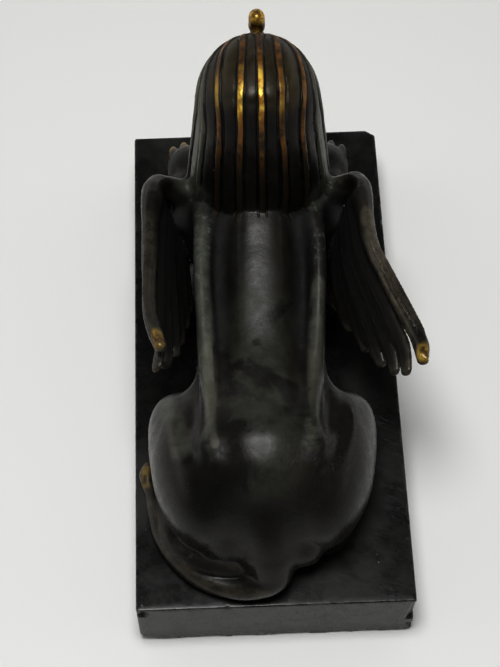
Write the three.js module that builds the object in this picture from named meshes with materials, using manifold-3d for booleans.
// A small bronze sphinx with wings, lying on a slate plinth. Millimetres, +Z up.
// The figure looks along +Y; its right wing is on +X. The plinth's underside is z = 0.
import * as THREE from 'three';
import Module from 'manifold-3d';

// The plinth
const plinthLength = 208.4;
const plinthWidth = 100;
const plinthHeight = 29;

// The figure's length, and its seat on the plinth. Its shape is modelled in shares of its length:
// below this block, 1 is a 200th of figureLength, from the base's own middle.
const figureLength = 200;
const figureTurnDegrees = -1.46;
const figureShift = -1.5;

// The head cloth, in shares and degrees
const clothFilletPitch = 21.4;
const clothFilletStart = 3.3;
const clothFilletHalfWidth = 1.3;
const clothFilletHeight = 0.9;
const neckLineY = 43;

// The wings, in shares: each is a sheet over the (y, z) plane, with feathers laid on it
const wingSheetRight = 37.6;
const wingSheetLeft = 38.6;
const wingFlare = 0.34;
const primaryCount = 7;
const covertCount = 6;
const shoulderCovertCount = 5;
const featherHalfThickness = 1.45;

// How finely the figure is modelled, in shares, and how many triangles are kept
const gridStep = 1.2;
const figureTriangles = 9300;

const clamp = THREE.MathUtils.clamp;

// Smooth rows of numbers over rising keys.
function smoothRows(keys, rows) {
  const slope = rows.map((row, i) => {
    const a = Math.max(i - 1, 0);
    const b = Math.min(i + 1, rows.length - 1);
    if (i === 0 || i === rows.length - 1) {
      return row.map((_, c) => (rows[b][c] - rows[a][c]) / (keys[b] - keys[a]));
    }
    const before = keys[i] - keys[a];
    const after = keys[b] - keys[i];
    return row.map((value, c) => {
      const left = (value - rows[a][c]) / before;
      const right = (rows[b][c] - value) / after;
      return (left * after + right * before) / (before + after);
    });
  });
  return (key) => {
    const q = clamp(key, keys[0], keys[keys.length - 1]);
    let i = 0;
    while (i < keys.length - 2 && q > keys[i + 1]) i += 1;
    const span = keys[i + 1] - keys[i];
    const t = (q - keys[i]) / span;
    const a = 2 * t ** 3 - 3 * t ** 2 + 1;
    const b = (t ** 3 - 2 * t ** 2 + t) * span;
    const c = -2 * t ** 3 + 3 * t ** 2;
    const d = (t ** 3 - t ** 2) * span;
    return rows[i].map((value, n) => {
      return a * value + b * slope[i][n] + c * rows[i + 1][n] + d * slope[i + 1][n];
    });
  };
}

function rising(keys, rows) {
  if (keys[0] < keys[keys.length - 1]) return [keys, rows];
  return [[...keys].reverse(), [...rows].reverse()];
}

// An ellipsoid, turned by [x, y, z] degrees.
function ball(centre, radii, turn = [0, 0, 0]) {
  const euler = new THREE.Euler(...turn.map(THREE.MathUtils.degToRad), 'ZYX');
  const m = new THREE.Matrix4().makeRotationFromEuler(euler).elements;
  const [a, b, c] = radii;
  const reach = turn.some((angle) => angle !== 0) ? radii.map(() => Math.max(...radii)) : radii;
  const at = (x, y, z) => {
    const dx = x - centre[0];
    const dy = y - centre[1];
    const dz = z - centre[2];
    const u = m[0] * dx + m[1] * dy + m[2] * dz;
    const v = m[4] * dx + m[5] * dy + m[6] * dz;
    const w = m[8] * dx + m[9] * dy + m[10] * dz;
    const k0 = Math.hypot(u / a, v / b, w / c);
    const k1 = Math.hypot(u / a ** 2, v / b ** 2, w / c ** 2);
    return k0 < 1e-3 ? -Math.min(a, b, c) : k0 * (k0 - 1) / k1;
  };
  return { at, lo: centre.map((v, i) => v - reach[i]), hi: centre.map((v, i) => v + reach[i]) };
}

// A round tube through [x, y, z, radius] points, as a chain of short tapered capsules.
function tube(points, steps = 6) {
  const at = smoothRows(points.map((_, i) => i), points);
  const count = (points.length - 1) * steps;
  const chain = Array.from({ length: count + 1 }, (_, i) => at(i / steps));
  const distance = (x, y, z) => {
    let best = Infinity;
    for (let i = 0; i < count; i += 1) {
      const [ax, ay, az, ar] = chain[i];
      const [bx, by, bz, br] = chain[i + 1];
      const vx = bx - ax;
      const vy = by - ay;
      const vz = bz - az;
      const along = ((x - ax) * vx + (y - ay) * vy + (z - az) * vz) / (vx * vx + vy * vy + vz * vz);
      const t = Math.min(Math.max(along, 0), 1);
      const d = Math.hypot(x - ax - t * vx, y - ay - t * vy, z - az - t * vz) - (ar + (br - ar) * t);
      if (d < best) best = d;
    }
    return best;
  };
  const lo = [0, 1, 2].map((i) => Math.min(...chain.map((p) => p[i] - p[3])));
  const hi = [0, 1, 2].map((i) => Math.max(...chain.map((p) => p[i] + p[3])));
  return { at: distance, lo, hi };
}

// Sections along y; a row is [x, z, half width, height above, depth below].
function sectionsAlongY(keyList, rowList, power = 2) {
  const [keys, rows] = rising(keyList, rowList);
  const table = smoothRows(keys, rows);
  const ends = [keys[0], keys[keys.length - 1]];
  let lastKey = NaN;
  let row = null;
  const at = (x, y, z) => {
    if (y !== lastKey) {
      row = table(y);
      lastKey = y;
    }
    const [xc, zc, half, up, down] = row;
    const rise = z - zc;
    return sectionDistance(x - xc, rise, half, rise > 0 ? up : down, power, y, ends);
  };
  const lo = [Math.min(...rows.map((r) => r[0] - r[2])), ends[0], Math.min(...rows.map((r) => r[1] - r[4]))];
  const hi = [Math.max(...rows.map((r) => r[0] + r[2])), ends[1], Math.max(...rows.map((r) => r[1] + r[3]))];
  return { at, lo, hi };
}

// Sections along z; a row is [x, y, half width, reach forward, reach back].
function sectionsAlongZ(keyList, rowList, power = 2, relief = () => 0) {
  const [keys, rows] = rising(keyList, rowList);
  const table = smoothRows(keys, rows);
  const ends = [keys[0], keys[keys.length - 1]];
  const at = (x, y, z) => {
    const [xc, yc, half, front, back] = table(z);
    const ahead = y - yc;
    const reach = ahead > 0 ? front : back;
    return sectionDistance(x - xc, ahead, half, reach, power, z, ends, relief(x, y, z));
  };
  const lo = [Math.min(...rows.map((r) => r[0] - r[2])), Math.min(...rows.map((r) => r[1] - r[4])), ends[0]];
  const hi = [Math.max(...rows.map((r) => r[0] + r[2])), Math.max(...rows.map((r) => r[1] + r[3])), ends[1]];
  return { at, lo: lo.map((v) => v - 1), hi: hi.map((v) => v + 1) };
}

function sectionDistance(across, along, half, reach, power, key, ends, relief = 0) {
  const q = (Math.abs(across / half) ** power + Math.abs(along / reach) ** power) ** (1 / power) + 1e-6;
  const d = (q - 1) * Math.hypot(across, along, 1e-3) / q - relief;
  const past = Math.max(key - ends[1], ends[0] - key);
  return past > 0 ? Math.hypot(Math.max(d, 0), past) : d;
}

// Shapes joined to and carved from a figure, in order, with soft seams of a given width.
class Sculpture {
  constructor() {
    this.acts = [];
  }

  join(shape, blend = 0) {
    this.acts.push({ shape, blend, sign: 1 });
  }

  carve(shape, blend = 0) {
    this.acts.push({ shape, blend, sign: -1 });
  }

  // Signed distances on a grid around the whole figure, cut off flat at z = 0.
  resolve(step) {
    const joined = this.acts.filter((act) => act.sign > 0);
    const edge = (side, end, room) => [0, 1, 2].map((i) => {
      return end(...joined.map(({ shape, blend }) => shape[side][i] + room * (blend / 4 + 3 * step)));
    });
    const field = new Field(edge('lo', Math.min, -1), edge('hi', Math.max, 1), step);
    for (const { shape, blend, sign } of this.acts) {
      field.visit(shape, blend + 2 * step + 1, (a, b) => {
        const m = blend > 0 ? Math.max(blend - Math.abs(a - sign * b), 0) / blend : 0;
        const sharp = sign > 0 ? Math.min(a, b) : Math.max(a, -b);
        return sharp - sign * m * m * blend * 0.25;
      });
    }
    const everywhere = { at: (x, y, z) => z, lo: field.low, hi: field.high };
    field.visit(everywhere, 0, (a, z) => Math.max(a, -z));
    return field;
  }
}

// A dense grid of numbers; its floor stays just under z = 0.
class Field {
  constructor(low, high, step) {
    this.low = [low[0], low[1], -2.5 * step];
    this.high = high;
    this.step = step;
    this.count = this.low.map((v, i) => Math.ceil((high[i] - v) / step) + 1);
    this.values = new Float32Array(this.count[0] * this.count[1] * this.count[2]).fill(1000);
  }

  index(i, j, k) {
    return (j * this.count[0] + i) * this.count[2] + k;
  }

  visit(shape, margin, change) {
    const { low, step, count, values } = this;
    const from = shape.lo.map((v, i) => Math.max(Math.floor((v - margin - low[i]) / step), 0));
    const to = shape.hi.map((v, i) => {
      return Math.min(Math.ceil((v + margin - low[i]) / step), count[i] - 1);
    });
    for (let j = from[1]; j <= to[1]; j += 1) {
      const y = low[1] + j * step;
      for (let i = from[0]; i <= to[0]; i += 1) {
        const x = low[0] + i * step;
        for (let k = from[2]; k <= to[2]; k += 1) {
          const n = this.index(i, j, k);
          values[n] = change(values[n], shape.at(x, y, low[2] + k * step));
        }
      }
    }
  }
}

// The chest, back, belly and rump, with the flat of the back between the shoulder ridges
function addTrunk(figure) {
  const keys = [63, 58, 50, 38, 25, 8, -12, -28, -42, -55, -68, -79, -87, -93.5];
  figure.join(sectionsAlongY(keys, [
    [0, 32, 8, 8, 12],
    [0, 33, 14, 15, 24],
    [0, 34, 18.5, 23, 34],
    [0, 34, 22.5, 28.5, 34],
    [0, 35, 22.5, 29.2, 36],
    [0, 33, 21.5, 27.5, 34],
    [0, 31, 20.4, 24.6, 32],
    [0, 29.5, 19.8, 23.2, 31],
    [0, 29, 21.5, 24.2, 31],
    [0, 28, 24, 28.4, 30],
    [0, 26, 25, 30, 28],
    [0, 22, 22.5, 27, 22],
    [0, 17, 16, 18.5, 16],
    [0, 12, 7, 8, 11],
  ], 2.35));
  figure.join(ball([0, 44, 16], [17, 15, 16]), 6);
  for (const s of [-1, 1]) {
    figure.join(ball([s * 8.5, 53, 37], [11, 9.5, 14]), 6);
  }
  for (const s of [-1, 1]) {
    figure.join(tube([
      [s * 19.3, 31, 53.5, 4.2],
      [s * 20.2, 18, 55.2, 4.1],
      [s * 20.2, 2, 53, 3.9],
      [s * 19.4, -14, 48.8, 3.8],
      [s * 18.8, -28, 45.4, 3.7],
      [s * 18.5, -38, 45.2, 3.5],
      [s * 18.2, -47, 47.4, 2.9],
      [s * 17, -56, 49.4, 2.2],
      [s * 15.8, -63, 49.8, 1.7],
      [s * 15.6, -70, 48, 1],
    ]), 4);
    figure.carve(tube([
      [s * 13, 22, 62, 2.6],
      [s * 14.2, 8, 57.6, 2.7],
      [s * 14.4, -8, 53.4, 2.6],
      [s * 13.6, -24, 50.6, 2.2],
      [s * 13, -38, 52.4, 1.2],
    ]), 3.5);
  }
}

// A haunch with its knee, and the hind foot tucked under it; the left foot lies further out
function addHindLeg(figure, s) {
  figure.join(ball([s * 21.2, -64.5, 24.5], [16.8, 26.5, 26], [0, 0, s * -5]), 8);
  figure.join(ball([s * 27, -55, 22], [11.8, 22, 21], [0, 0, s * -3]), 7);
  figure.join(ball([s * 31, -46, 19.5], [8.8, 14, 16.5], [16, 0, s * 4]), 6);
  figure.join(ball([s * 33.4, -43, 19], [7, 10.5, 15.5], [12, 0, 0]), 3);
  figure.join(tube([[s * 19.5, -34, 42, 3], [s * 24, -39, 35, 3]], 1), 4);
  figure.carve(tube([
    [s * 29.6, -34, 40.5, 2.2],
    [s * 29.4, -46, 44.6, 2.4],
    [s * 28.2, -56, 47.6, 2.6],
    [s * 26.3, -65, 50.4, 2.6],
    [s * 24.4, -73, 53, 2.6],
  ]), 3);
  figure.carve(ball([s * 24.6, -48, 50.6], [4.2, 15, 7], [-12, 0, s * -6]), 4);
  const leftHeel = [
    [-3.5, -90.5, 8.4, 5],
    [-9, -92, 7.6, 4.9],
    [-18, -90.6, 6.8, 5.2],
    [-26, -86.6, 6.2, 5],
    [-32.4, -79.5, 5.2, 4.6],
    [-33.6, -62, 4.6, 4.8],
  ];
  const rightHeel = [
    [17, -80, 7, 5.4],
    [22, -81.5, 6, 5.2],
    [26.2, -79, 5.4, 4.9],
    [28.6, -73, 5, 4.7],
    [30.6, -62, 4.6, 4.8],
  ];
  figure.join(tube([...(s < 0 ? leftHeel : rightHeel), [s * 33, -44, 4.6, 5.2]]), 2.5);
  figure.join(ball([s * 34, -33, 4.2], [6.6, 9, 5]), 3);
  for (const dx of [-4.5, -1.5, 1.5, 4.5]) {
    figure.join(ball([s * (34 + dx), -26.2 - 0.12 * dx ** 2, 2.9], [1.9, 4.2, 3.2]), 1);
  }
}

// Shoulder, upper arm, elbow, and the forearm lying forward to a paw of four toes
function addForeLeg(figure, s) {
  const paw = s * 28;
  figure.join(ball([s * 18.5, 30, 38], [8.6, 18, 19]), 8);
  figure.join(tube([[s * 20.5, 32, 36, 10.5], [s * 25.5, 21, 14, 7.6]], 1), 6);
  figure.join(tube([
    [s * 25.6, 18, 10.5, 6.8],
    [s * 26.6, 34, 9.5, 8],
    [s * 27.4, 55, 8.2, 7.2],
    [paw, 72, 7.2, 6.6],
  ]), 4);
  figure.join(ball([paw, 82, 6.2], [8.8, 11.5, 6.5]), 4);
  for (const dx of [-6.5, -2.2, 2.2, 6.5]) {
    const toeTip = 91.2 - 0.055 * dx ** 2;
    figure.join(ball([paw + s * dx, toeTip, 4.3], [2.45, 5.8, 4.2]), 1.1);
    const knuckle = [paw + s * dx, 78.5, 10.4 - Math.abs(dx) * 0.33, 1.5];
    figure.join(tube([knuckle, [paw + s * dx, toeTip - 4.7, 8.3 - Math.abs(dx) * 0.2, 1.7]], 1), 2.2);
  }
}

// The rump's fall into a broad tail root, and the tail curled round the left haunch to its tuft
function addTail(figure) {
  figure.join(ball([13.5, -87.4, 14], [7.6, 6.6, 8.8], [0, 0, -16]), 3);
  figure.join(ball([-12, -86, 15], [8, 6.5, 9], [0, 0, 20]), 5);
  figure.join(tube([
    [0, -72, 40, 10],
    [1, -83, 29.5, 9.8],
    [2.5, -89.5, 19.5, 9],
    [2.6, -92.5, 14, 8],
  ]), 6);
  figure.join(tube([
    [2.5, -91.5, 17, 8],
    [2.5, -95, 9.5, 7.4],
    [-1.5, -97.7, 6.4, 5.7],
    [-9.8, -99, 4.9, 4.3],
    [-21.2, -95.3, 4.2, 3.9],
    [-30, -88.4, 3.8, 3.6],
    [-36.3, -79.1, 3.5, 3.2],
    [-39, -70, 3.2, 2.9],
    [-41, -61, 2.9, 2.3],
    [-42.2, -57, 2.9, 2.4],
    [-42.6, -53.5, 2.9, 2.9],
    [-42.5, -50.5, 2.7, 2],
  ]), 0.9);
}

// Raised fillets run over the head cloth from the brow and down, at equal angles on its sides.
function clothRelief(x, y, z) {
  const behind = neckLineY - y;
  const share = clamp((z - 96) / 21, 0, 1);
  const crown = share * share * (3 - 2 * share);
  const depth = behind + crown * (17 - 0.85 * behind);
  const fall = 6 * share * (1 - share) / 21 * (17 - 0.85 * behind);
  const angle = THREE.MathUtils.radToDeg(Math.atan2(x, depth)) - clothFilletStart;
  const turns = angle / clothFilletPitch;
  const offAngle = THREE.MathUtils.degToRad(Math.abs(turns - Math.round(turns)) * clothFilletPitch);
  const steep = Math.hypot(depth, x * (1 - 0.85 * crown), x * fall) / (x ** 2 + depth ** 2 + 0.001);
  const across = offAngle / Math.max(steep, 0.02);
  return clothFilletHeight / (1 + Math.exp(Math.min((across - clothFilletHalfWidth) / 0.25, 40)));
}

// Neck, head cloth with its lappets, face, ears and the cobra on the brow
function addHead(figure) {
  figure.join(tube([[0, 41, 52, 12], [0, 49, 84, 8.6]], 1), 6);
  const clothKeys = [119.5, 118.2, 114, 107, 99, 88, 76, 65, 58, 52];
  figure.join(sectionsAlongZ(clothKeys, [
    [0, 46, 2, 2, 2],
    [0, 46, 7.6, 9, 8.6],
    [0, 45, 14.2, 16.2, 15],
    [0, 45, 19.4, 19.4, 19.4],
    [0, 44, 21.7, 16.3, 21],
    [0, 43, 22.9, 10.5, 21],
    [0, 42, 24.2, 8.5, 20.5],
    [0, 41, 25.2, 8.5, 19.3],
    [0, 40.5, 25.8, 8.5, 18.2],
    [0, 40, 25, 8, 15.6],
  ], 2.15, clothRelief), 1);
  figure.join(ball([0, 55.5, 93.5], [12.1, 12.8, 15.8]), 1.5);
  figure.join(ball([0, 60.4, 82.6], [6.6, 6.4, 5.2]), 5);
  for (const s of [-1, 1]) {
    figure.join(ball([s * 5.6, 62.6, 88.6], [4.6, 4.2, 5.4]), 4);
    figure.carve(ball([s * 4.9, 69.6, 95.4], [3.9, 2.9, 2.3]), 2.2);
    figure.join(ball([s * 4.7, 65.6, 95.2], [2.9, 2.5, 1.75]), 0.3);
    figure.join(tube([[s * 1.6, 68, 98.3, 1], [s * 5, 67.6, 99.4, 1.1], [s * 9.3, 63.8, 97.8, 0.9]]), 1.8);
    figure.join(ball([s * 1.7, 69.3, 89.9], [1.5, 1.5, 1.2]), 0.8);
    figure.join(ball([s * 12.6, 56.5, 93.5], [1.7, 3, 4.6], [10, 0, s * -14]), 0.8);
    figure.join(tube([[s * 12.8, 53.5, 103.2, 1.7], [s * 8.5, 60.6, 105.5, 1.7], [0, 64.6, 106.6, 1.7]]), 0.6);
    figure.join(sectionsAlongZ([92, 84, 76, 66, 52, 40, 33], [
      [s * 16.5, 47, 4, 3, 4],
      [s * 16.4, 50, 6, 3.6, 5],
      [s * 16, 52.5, 6.8, 3.6, 6],
      [s * 15.4, 55.5, 6.7, 3.4, 6],
      [s * 14.6, 58.6, 6.3, 3, 6],
      [s * 14, 60, 5.9, 2.8, 6],
      [s * 13.8, 60.2, 5.6, 2.6, 6],
    ], 3), 0.8);
  }
  figure.join(tube([[0, 67, 98.5, 1.35], [0, 70.4, 90.8, 1.75]], 1), 1.4);
  figure.join(tube([
    [-3.9, 67, 86.2, 0.7],
    [-1.6, 68.7, 86.9, 1.05],
    [0, 68.9, 86.6, 1],
    [1.6, 68.7, 86.9, 1.05],
    [3.9, 67, 86.2, 0.7],
  ]), 0.7);
  figure.join(tube([[-3, 67, 85, 0.7], [0, 68.3, 84.5, 1.2], [3, 67, 85, 0.7]]), 0.7);
  figure.join(ball([0, 65.8, 80.6], [3.6, 3.1, 2.7]), 2.2);
  figure.join(tube([[0, 62.5, 104, 2.6], [0, 66, 106.5, 2.2], [0, 66.2, 110, 2]]), 0.8);
  figure.join(ball([0, 66.2, 113.2], [3, 2.1, 4.8]), 0.8);
  figure.join(ball([0, 66.6, 117], [2.7, 2.9, 2.5]), 1.6);
}

// How far the wing's sheet stands from the middle plane. Both lean out as they rise and curl in at
// the tip, and the right one flares to the rear.
function sheetAt(s, y, z) {
  const back = clamp((22 - y) / 66, 0, 1);
  if (s > 0) {
    const run = 0.5 * (5 - y + Math.hypot(5 - y, Math.sqrt(60)));
    const curl = 3 * clamp((-34 - y) / 12, 0, 1) ** 1.5;
    return wingSheetRight + wingFlare * run - curl + (z - 70) / 30 * (11.5 + 1.5 * back);
  }
  const high = THREE.MathUtils.smoothstep(z, 62, 70);
  const curl = 5 * clamp((-18 - y) / 24, 0, 1) ** 1.5 * high;
  const lean = 11.4 * (0.2 + 0.8 * THREE.MathUtils.smoothstep(y, -44, -34));
  return wingSheetLeft - 1.6 * back - curl + (z - 68) / 30 * lean;
}

// One feather: a flat tapered stroke through [y, z, half width] points, lifted off the sheet.
function feather(s, path, lift, halfThickness) {
  const table = smoothRows(path.map((_, i) => i), path);
  const chain = Array.from({ length: (path.length - 1) * 4 + 1 }, (_, i) => table(i / 4));
  const rim = 0.5;
  const at = (x, y, z) => {
    let flat = Infinity;
    for (let i = 0; i < chain.length - 1; i += 1) {
      const [ay, az, ar] = chain[i];
      const [by, bz, br] = chain[i + 1];
      const along = ((y - ay) * (by - ay) + (z - az) * (bz - az)) / ((by - ay) ** 2 + (bz - az) ** 2);
      const t = clamp(along, 0, 1);
      const d = Math.hypot(y - ay - t * (by - ay), z - az - t * (bz - az)) - (ar + (br - ar) * t);
      flat = Math.min(flat, d);
    }
    const crown = 0.5 * clamp(1 + flat / 2.2, 0, 1);
    const deep = Math.abs(s * x - sheetAt(s, y, z) - lift) - (halfThickness - crown);
    const outside = Math.hypot(Math.max(flat + rim, 0), Math.max(deep + rim, 0));
    return outside + Math.min(Math.max(flat + rim, deep + rim), 0) - rim;
  };
  const ys = chain.flatMap((p) => [p[0] - p[2], p[0] + p[2]]);
  const zs = chain.flatMap((p) => [p[1] - p[2], p[1] + p[2]]);
  const [y0, y1] = [Math.min(...ys), Math.max(...ys)];
  const [z0, z1] = [Math.min(...zs), Math.max(...zs)];
  const sheet = [y0, y1].flatMap((y) => [z0, z1].map((z) => sheetAt(s, y, z)));
  const near = Math.min(...sheet) + lift - halfThickness - 1;
  const far = Math.max(...sheet) + lift + halfThickness + 1;
  return { at, lo: [Math.min(s * near, s * far), y0, z0], hi: [Math.max(s * near, s * far), y1, z1] };
}

// A raised wing: root, leading edge in three steps, and three layers of feathers
function addWing(figure, s) {
  const shoulder = 25;
  const wrist = sheetAt(s, 30, 65.5);
  const between = (share) => s * (shoulder + (wrist - shoulder) * share);
  figure.join(tube([
    [s * 20, 31, 42, 6.5],
    [between(0), 34.5, 52, 5.4],
    [between(0.6), 34.5, 60.5, 4.4],
    [between(1), 30, 65.5, 4],
  ]), 4);
  figure.join(tube([[s * 20, 24, 40, 6.5], [s * 26, 27, 45, 5.2], [s * 29, 27, 50, 4.4]]), 5);
  const tips = s > 0
    ? [[-46, 74], [-44.5, 64], [-40, 56], [-33, 49.5], [-24, 44.5], [-13, 40.5], [-2, 37.5]]
    : [[-38, 71.5], [-41.5, 63.5], [-36, 56], [-28, 50], [-20, 45], [-11, 41], [-2, 37.5]];
  const [lastY, lastZ] = s > 0 ? [-45, 74] : tips[0];
  const edge = [
    [33.5, 63.5, 4.2],
    [27, 66.8, 4.2],
    [20, 68.4, 3.5],
    [15, 68.9, 3.1],
    [4, 69.3, 2.9],
    [-6, 69.8, 2.8],
    [-9, 70, 2.5],
    [-24, 71.2, 2.5],
    [lastY + 6, lastZ - 0.3, 2.6],
    [lastY, lastZ, 2.3],
  ];
  figure.join(tube(edge.map(([y, z, r]) => [s * sheetAt(s, y, z), y, z, r]), 5), 2);
  figure.carve(tube([
    [s * 29.6, 30, 78, 5.2],
    [s * 29.4, 28.2, 63, 5],
    [s * 28.8, 19, 56, 4.6],
    [s * 28.6, 8, 52, 4.2],
    [s * 28.4, -4, 50, 3.6],
  ]), 2);
  const tipAt = smoothRows(tips.map((_, i) => i / (tips.length - 1)), tips);
  for (let i = 0; i < primaryCount; i += 1) {
    const share = i / Math.max(primaryCount - 1, 1);
    const wide = 7 / primaryCount;
    const [endY, endZ] = tipAt(share);
    const y = 28 - 7.2 * share;
    const z = 64 - 22.2 * share;
    figure.join(feather(s, [
      [y, z, 3.6 * wide],
      [0.55 * y + 0.45 * endY, 0.55 * z + 0.45 * endZ + 0.9, 4.3 * wide],
      [0.15 * y + 0.85 * endY, 0.15 * z + 0.85 * endZ + 0.2, 3.5 * wide],
      [endY, endZ, 2.2 * wide],
    ], -0.25 * (i % 2), featherHalfThickness), 0.5);
  }
  for (let i = 0; i < covertCount; i += 1) {
    const share = i / Math.max(covertCount - 1, 1);
    const wide = 6 / covertCount;
    const z = 62 - 15.5 * share;
    const endZ = 66.5 - 28 * share;
    const endY = -8 + 8 * share + 6.25 * share ** 2;
    figure.join(feather(s, [
      [30, z, 3.4 * wide],
      [12, (z + endZ) / 2 + 0.8, 3.7 * wide],
      [endY, endZ, 2.6 * wide],
    ], 1, featherHalfThickness), 0.5);
  }
  for (let i = 0; i < shoulderCovertCount; i += 1) {
    const share = i / Math.max(shoulderCovertCount - 1, 1);
    const wide = 5 / shoulderCovertCount;
    figure.join(feather(s, [
      [32, 61 - 14.4 * share, 3.6 * wide],
      [22, 62.6 - 17.6 * share, 3.7 * wide],
      [12 + 4.8 * share, 64.5 - 20.8 * share, 2.8 * wide],
    ], 2, featherHalfThickness + 0.1), 0.5);
  }
}

// Grid cells whose inside or outside corners don't hang together along cube edges.
const splitCells = Array.from({ length: 256 }, (_, code) => {
  const whole = (wanted) => {
    const members = [0, 1, 2, 3, 4, 5, 6, 7].filter((n) => ((code >> n) & 1) === wanted);
    if (members.length < 2) return true;
    const reached = new Set([members[0]]);
    for (const n of reached) {
      for (const bit of [1, 2, 4]) {
        if (members.includes(n ^ bit)) reached.add(n ^ bit);
      }
    }
    return reached.size === members.length;
  };
  return !(whole(0) && whole(1));
});

// Flip the weakest corner of every split cell, so that the surface stays a clean shell.
function healSplitCells(field) {
  const [nx, ny, nz] = field.count;
  const { values } = field;
  for (let pass = 0; pass < 30; pass += 1) {
    let flips = 0;
    for (let j = 0; j < ny - 1; j += 1) {
      for (let i = 0; i < nx - 1; i += 1) {
        for (let k = 0; k < nz - 1; k += 1) {
          let code = 0;
          for (let n = 0; n < 8; n += 1) {
            if (values[field.index(i + (n & 1), j + ((n >> 1) & 1), k + (n >> 2))] < 0) code |= 1 << n;
          }
          if (!splitCells[code]) continue;
          let weakest = -1;
          for (let n = 0; n < 8; n += 1) {
            const at = field.index(i + (n & 1), j + ((n >> 1) & 1), k + (n >> 2));
            if (weakest < 0 || Math.abs(values[at]) < Math.abs(values[weakest])) weakest = at;
          }
          values[weakest] = -Math.sign(values[weakest]) * (0.02 + 0.03 * pass);
          flips += 1;
        }
      }
    }
    if (flips === 0) return;
  }
}

// One vertex in every cell that the surface crosses, and two triangles across every crossed edge.
function surfaceOf(field) {
  const [nx, ny, nz] = field.count;
  const { values, low, step } = field;
  const vertexOf = new Int32Array(values.length).fill(-1);
  const points = [];
  for (let j = 0; j < ny - 1; j += 1) {
    for (let i = 0; i < nx - 1; i += 1) {
      for (let k = 0; k < nz - 1; k += 1) {
        const sum = [0, 0, 0];
        let hits = 0;
        for (let n = 0; n < 8; n += 1) {
          const corner = [n & 1, (n >> 1) & 1, n >> 2];
          const a = values[field.index(i + corner[0], j + corner[1], k + corner[2])];
          for (let axis = 0; axis < 3; axis += 1) {
            if (corner[axis]) continue;
            const other = [...corner];
            other[axis] = 1;
            const b = values[field.index(i + other[0], j + other[1], k + other[2])];
            if ((a < 0) === (b < 0)) continue;
            for (let c = 0; c < 3; c += 1) sum[c] += corner[c] + (c === axis ? a / (a - b) : 0);
            hits += 1;
          }
        }
        if (hits === 0) continue;
        vertexOf[field.index(i, j, k)] = points.length;
        points.push([i, j, k].map((v, c) => low[c] + step * (v + sum[c] / hits)));
      }
    }
  }
  const faces = [];
  const addEdgeFaces = (place, axis) => {
    const next = [...place];
    next[axis] += 1;
    const inside = values[field.index(...place)] < 0;
    if (inside === (values[field.index(...next)] < 0)) return;
    const u = (axis + 1) % 3;
    const v = (axis + 2) % 3;
    const ring = [[-1, -1], [0, -1], [0, 0], [-1, 0]].map(([du, dv]) => {
      const around = [...place];
      around[u] += du;
      around[v] += dv;
      return vertexOf[field.index(...around)];
    });
    if (!inside) ring.reverse();
    faces.push([ring[0], ring[1], ring[2]], [ring[0], ring[2], ring[3]]);
  };
  for (let j = 1; j < ny - 1; j += 1) {
    for (let i = 1; i < nx - 1; i += 1) {
      for (let k = 1; k < nz - 1; k += 1) {
        for (let axis = 0; axis < 3; axis += 1) addEdgeFaces([i, j, k], axis);
      }
    }
  }
  return { points, faces };
}

const subtract = (a, b) => [a[0] - b[0], a[1] - b[1], a[2] - b[2]];
const dot = (a, b) => a[0] * b[0] + a[1] * b[1] + a[2] * b[2];
const cross = (a, b) => [
  a[1] * b[2] - a[2] * b[1],
  a[2] * b[0] - a[0] * b[2],
  a[0] * b[1] - a[1] * b[0],
];
const faceNormal = (a, b, c) => cross(subtract(b, a), subtract(c, a));

// A squared distance to a set of planes, as the ten numbers of a symmetric matrix.
function planeQuadric([a, b, c], d, weight) {
  return [a * a, a * b, a * c, a * d, b * b, b * c, b * d, c * c, c * d, d * d].map((v) => v * weight);
}

function quadricCost(q, [x, y, z]) {
  return q[0] * x * x + q[4] * y * y + q[7] * z * z + q[9]
    + 2 * (q[1] * x * y + q[2] * x * z + q[3] * x + q[5] * y * z + q[6] * y + q[8] * z);
}

function quadricLowest(q) {
  const m = new THREE.Matrix3().set(q[0], q[1], q[2], q[1], q[4], q[5], q[2], q[5], q[7]);
  const scale = q[0] + q[4] + q[7];
  if (Math.abs(m.determinant()) < 1e-4 * scale ** 3) return null;
  const v = new THREE.Vector3(-q[3], -q[6], -q[8]).applyMatrix3(m.invert());
  return [v.x, v.y, v.z];
}

// A binary heap of edges, cheapest first.
class EdgeHeap {
  constructor() {
    this.items = [];
  }

  push(item) {
    const { items } = this;
    let n = items.push(item) - 1;
    while (n > 0) {
      const parent = (n - 1) >> 1;
      if (items[parent].cost <= item.cost) break;
      items[n] = items[parent];
      n = parent;
    }
    items[n] = item;
  }

  pop() {
    const { items } = this;
    const top = items[0];
    const last = items.pop();
    if (items.length === 0) return top;
    let n = 0;
    while (2 * n + 1 < items.length) {
      let child = 2 * n + 1;
      if (child + 1 < items.length && items[child + 1].cost < items[child].cost) child += 1;
      if (items[child].cost >= last.cost) break;
      items[n] = items[child];
      n = child;
    }
    items[n] = last;
    return top;
  }
}

// The carving counts for more where it is finest: the face, the paws and the wings' feathers.
function carvingWeight([x, y, z]) {
  if (z > 78 && y > 50) return 14;
  if (z > 60 && y > 20 && Math.abs(x) < 30) return 7;
  if (y > 72 || Math.abs(x) > 32) return 2.5;
  return 1;
}

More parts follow.
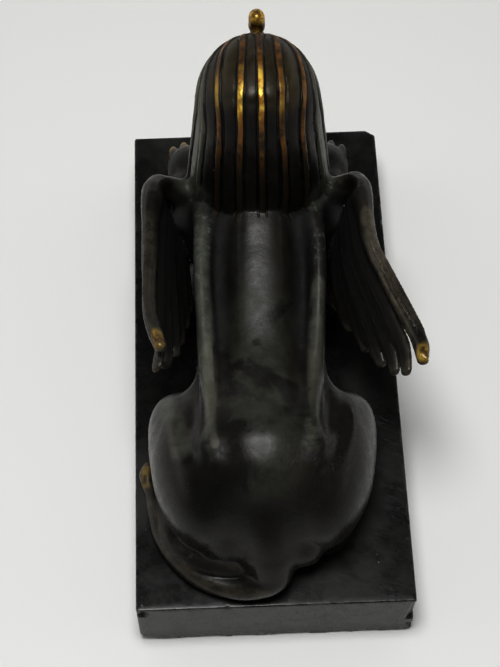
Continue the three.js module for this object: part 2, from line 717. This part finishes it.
// Merge the cheapest edges until the wanted number of triangles is left.
function simplify({ points, faces }, wanted) {
  const quadrics = points.map(() => new Array(10).fill(0));
  const around = points.map(() => new Set());
  const stamp = new Int32Array(points.length);
  const onFloor = points.map((p) => Math.abs(p[2]) < 1e-6);
  faces.forEach((face, f) => {
    const [a, b, c] = face.map((v) => points[v]);
    const n = faceNormal(a, b, c);
    const length = Math.hypot(...n);
    const unit = n.map((v) => v / (length || 1));
    const q = planeQuadric(unit, -dot(unit, a), length * carvingWeight(a));
    for (const v of face) {
      around[v].add(f);
      for (let i = 0; i < 10; i += 1) quadrics[v][i] += q[i];
    }
  });
  const neighbours = (v) => {
    const found = new Set();
    for (const f of around[v]) {
      for (const n of faces[f]) if (n !== v) found.add(n);
    }
    return found;
  };
  const plan = (u, v) => {
    const q = quadrics[u].map((value, i) => value + quadrics[v][i]);
    const middle = points[u].map((value, i) => (value + points[v][i]) / 2);
    const span = Math.hypot(...subtract(points[u], points[v]));
    let place = quadricLowest(q);
    if (!place || Math.hypot(...subtract(place, middle)) > 1.2 * span) {
      place = [points[u], points[v], middle].reduce((best, p) => {
        return quadricCost(q, p) < quadricCost(q, best) ? p : best;
      });
    }
    if (onFloor[u] || onFloor[v]) place = [place[0], place[1], 0];
    const cost = Math.max(quadricCost(q, place), 0) + 2e-4 * span ** 3;
    return { cost, u, v, place, mark: stamp[u] + stamp[v] };
  };
  const heap = new EdgeHeap();
  points.forEach((_, v) => {
    for (const n of neighbours(v)) if (n > v) heap.push(plan(v, n));
  });
  const keepsShape = (v, other, place) => {
    for (const f of around[v]) {
      const face = faces[f];
      if (face.includes(other)) continue;
      const before = faceNormal(...face.map((n) => points[n]));
      const after = face.map((n) => (n === v ? place : points[n]));
      const normal = faceNormal(...after);
      const area = Math.hypot(...normal);
      if (dot(before, normal) < 0.35 * Math.hypot(...before) * area) return false;
      const longest = Math.max(...after.map((p, i) => Math.hypot(...subtract(p, after[(i + 1) % 3]))));
      if (area < 0.09 * longest * longest) return false;
    }
    return true;
  };
  let left = faces.length;
  while (left > wanted && heap.items.length > 0) {
    const { u, v, place, mark } = heap.pop();
    if (around[u].size === 0 || around[v].size === 0 || stamp[u] + stamp[v] !== mark) continue;
    const near = neighbours(u);
    if (!near.has(v)) continue;
    const shared = [...neighbours(v)].filter((n) => near.has(n));
    if (shared.length !== 2 || !keepsShape(u, v, place) || !keepsShape(v, u, place)) continue;
    for (const f of [...around[v]]) {
      if (faces[f].includes(u)) {
        for (const n of faces[f]) around[n].delete(f);
        faces[f] = null;
        left -= 1;
      } else {
        faces[f] = faces[f].map((n) => (n === v ? u : n));
        around[u].add(f);
      }
    }
    around[v].clear();
    points[u] = place;
    onFloor[u] = onFloor[u] || onFloor[v];
    quadrics[u] = quadrics[u].map((value, i) => value + quadrics[v][i]);
    stamp[u] += 1;
    for (const n of neighbours(u)) heap.push(plan(u, n));
  }
  return { points, faces: faces.filter(Boolean) };
}

function geometryOf({ points, faces }) {
  const used = new Map();
  const position = [];
  const index = faces.flat().map((v) => {
    if (!used.has(v)) {
      used.set(v, used.size);
      position.push(...points[v]);
    }
    return used.get(v);
  });
  const geometry = new THREE.BufferGeometry();
  geometry.setAttribute('position', new THREE.Float32BufferAttribute(position, 3));
  geometry.setIndex(index);
  geometry.computeVertexNormals();
  return geometry;
}

function sphinxGeometry() {
  const figure = new Sculpture();
  addTrunk(figure);
  for (const s of [-1, 1]) {
    addHindLeg(figure, s);
    addForeLeg(figure, s);
  }
  addTail(figure);
  addHead(figure);
  addWing(figure, -1);
  addWing(figure, 1);
  const field = figure.resolve(gridStep);
  healSplitCells(field);
  const geometry = geometryOf(simplify(surfaceOf(field), figureTriangles));
  geometry.scale(figureLength / 200, figureLength / 200, figureLength / 200);
  geometry.rotateZ(THREE.MathUtils.degToRad(figureTurnDegrees));
  geometry.translate(figureShift, 0, plinthHeight);
  return geometry;
}

// Broken places of the plinth: [centre], [size], [turn in degrees] of the block that is missing
const halfWidth = plinthWidth / 2;
const halfLength = plinthLength / 2;
const breaks = [
  [[halfWidth + 1.6, halfLength + 2.2, plinthHeight], [10, 6, 36], [10, 4, -36]],
  [[-halfWidth + 2.4, -halfLength - 1.6, plinthHeight - 3.6], [4.6, 5, 4.4], [14, 20, 40]],
  [[-halfWidth + 5.4, -halfLength - 1.4, 0.2], [10.5, 6, 4.6], [24, 7, 12]],
  [[-halfWidth + 22, -halfLength - 1.5, -1.4], [15, 5, 5], [38, -3, 3]],
  [[-halfWidth + 37, -halfLength - 1.2, -1.6], [9, 4.2, 4.8], [34, 5, -4]],
  [[-halfWidth + 56, -halfLength - 1.4, -1.7], [17, 4.6, 5], [36, 2, 2]],
  [[halfWidth - 17, -halfLength - 1.3, -1.6], [12, 4.6, 4.8], [40, -6, -3]],
  [[halfWidth - 0.4, -halfLength - 1.2, plinthHeight - 10], [6, 4.4, 15], [5, -6, 42]],
  [[halfWidth + 1.2, -halfLength - 1.2, 3], [7, 6, 9], [-12, 14, 38]],
  [[halfWidth + 1.5, 20, -1.6], [5, 19, 5], [0, 42, 3]],
  [[-halfWidth - 1.5, -31, -1.5], [5, 14, 5], [0, -38, 5]],
];

const kernel = await Module();
kernel.setup();

function toSolid(geometry) {
  const seen = new Map();
  const points = [];
  const place = geometry.getAttribute('position');
  const corner = (n) => {
    const key = [place.getX(n), place.getY(n), place.getZ(n)].map((v) => Math.round(v * 1e5)).join();
    if (!seen.has(key)) {
      seen.set(key, seen.size);
      points.push(place.getX(n), place.getY(n), place.getZ(n));
    }
    return seen.get(key);
  };
  const triVerts = new Uint32Array(Array.from(geometry.index.array, corner));
  return new kernel.Manifold({ numProp: 3, vertProperties: new Float32Array(points), triVerts });
}

function plinthGeometry() {
  const slab = new THREE.BoxGeometry(plinthWidth, plinthLength, plinthHeight);
  slab.translate(0, 0, plinthHeight / 2);
  let solid = toSolid(slab);
  for (const [centre, size, turn] of breaks) {
    const block = new THREE.BoxGeometry(...size);
    const euler = new THREE.Euler(...turn.map(THREE.MathUtils.degToRad));
    block.applyQuaternion(new THREE.Quaternion().setFromEuler(euler));
    block.translate(...centre);
    solid = solid.subtract(toSolid(block));
  }
  const mesh = solid.getMesh();
  const geometry = new THREE.BufferGeometry();
  geometry.setAttribute('position', new THREE.Float32BufferAttribute(mesh.vertProperties, 3));
  geometry.setIndex(Array.from(mesh.triVerts));
  geometry.computeVertexNormals();
  return geometry;
}

const bronze = new THREE.MeshStandardMaterial({ color: 0x2a2620, metalness: 0.9, roughness: 0.35 });
const slate = new THREE.MeshStandardMaterial({ color: 0x1b1b1a, metalness: 0, roughness: 0.4 });

const sphinx = new THREE.Mesh(sphinxGeometry(), bronze);
sphinx.name = 'sphinx';
const plinth = new THREE.Mesh(plinthGeometry(), slate);
plinth.name = 'plinth';

const statue = new THREE.Group();
statue.add(sphinx, plinth);
export default statue;
